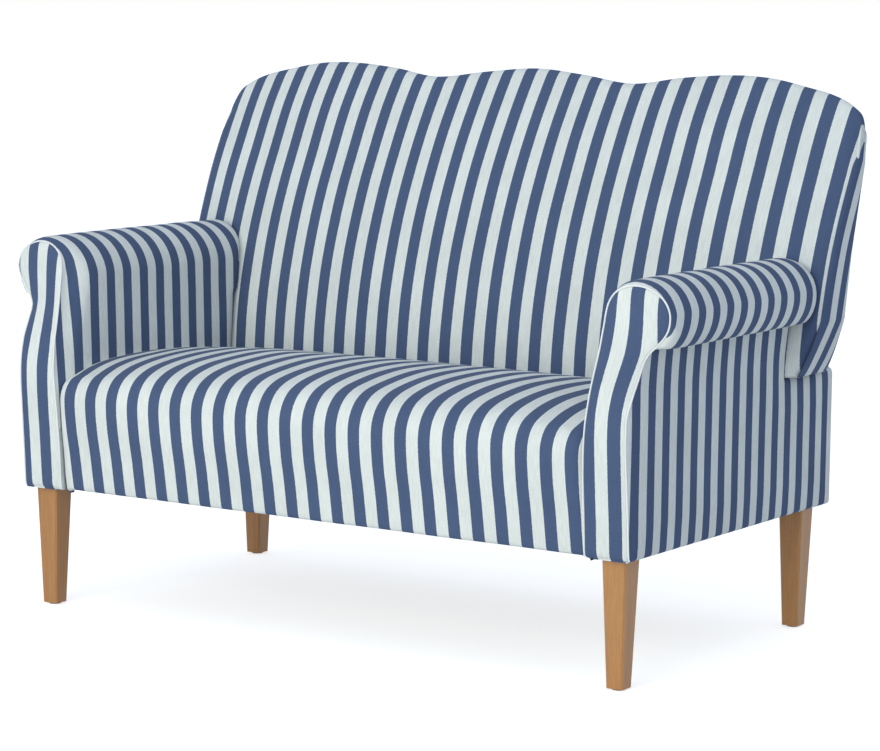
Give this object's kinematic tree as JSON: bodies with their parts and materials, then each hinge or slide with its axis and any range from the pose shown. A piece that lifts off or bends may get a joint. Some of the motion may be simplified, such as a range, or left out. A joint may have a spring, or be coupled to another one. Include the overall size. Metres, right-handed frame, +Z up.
{
  "type": "sofa",
  "caption": "Small two-seat kitchen sofa with scroll arms, camel-shaped back, tight striped upholstery and tapered wooden legs.",
  "frame": {"origin": "on the floor under the middle of the sofa's outer box", "axes": "+X along the sofa's width to the viewer's right seen from the front, +Y from the seat front to the back, +Z up"},
  "size_m": [1.456, 0.8067, 1.0223],
  "materials": {
    "wood": "clear satin lacquer on light beech",
    "frame_wood": "planed beech, unfinished",
    "fibreboard": "pressed fibreboard",
    "glide": "moulded, matt",
    "zinc_steel": "zinc plated",
    "spring_steel": "oiled spring wire",
    "dust_cloth": "black non-woven cloth",
    "hessian": "woven jute",
    "foam": "upholstery foam with wadding",
    "webbing": "woven webbing",
    "cover": "woven blue and white striped upholstery cloth",
    "piping": "white covered piping cord"
  },
  "bodies": {
    "root": {"leg_front_left": "wood", "leg_front_right": "wood", "leg_rear_left": "wood", "leg_rear_right": "wood", "corner_blocks": "frame_wood", "front_rail": "frame_wood", "spring_rail": "frame_wood", "rear_rail": "frame_wood", "rear_tack_rail": "frame_wood", "centre_stretcher": "frame_wood", "side_rail_left": "frame_wood", "side_rail_right": "frame_wood", "deck_board_left": "frame_wood", "deck_board_right": "frame_wood", "arm_stump_left": "frame_wood", "arm_stump_right": "frame_wood", "arm_rear_board_left": "frame_wood", "arm_rear_board_right": "frame_wood", "arm_rail_left": "frame_wood", "arm_rail_right": "frame_wood", "arm_tack_rail_left": "frame_wood", "arm_tack_rail_right": "frame_wood", "back_top_rail": "frame_wood", "back_post_left": "frame_wood", "back_post_right": "frame_wood", "back_lower_rail": "frame_wood", "back_stile": "frame_wood", "arm_inner_board_left": "fibreboard", "arm_inner_board_right": "fibreboard", "arm_outer_board_left": "fibreboard", "arm_outer_board_right": "fibreboard", "leg_glides": "glide", "leg_plates": "zinc_steel", "leg_bolts": "zinc_steel", "leg_nuts": "zinc_steel", "spring_clips": "zinc_steel", "seat_springs": "spring_steel", "spring_ties": "spring_steel", "dust_cover": "dust_cloth", "seat_hessian": "hessian", "seat_foam": "foam", "arm_roll_foam_left": "foam", "arm_roll_foam_right": "foam", "back_straps": "webbing", "seat_pad": "cover", "arm_facing_left": "cover", "arm_facing_right": "cover", "arm_pad_left": "cover", "arm_pad_right": "cover", "side_cover_left": "cover", "side_cover_right": "cover", "back_pad": "cover", "outside_back": "cover", "base_rear_cover": "cover", "arm_welt_left": "piping", "arm_welt_right": "piping"}
  },
  "joints": []
}
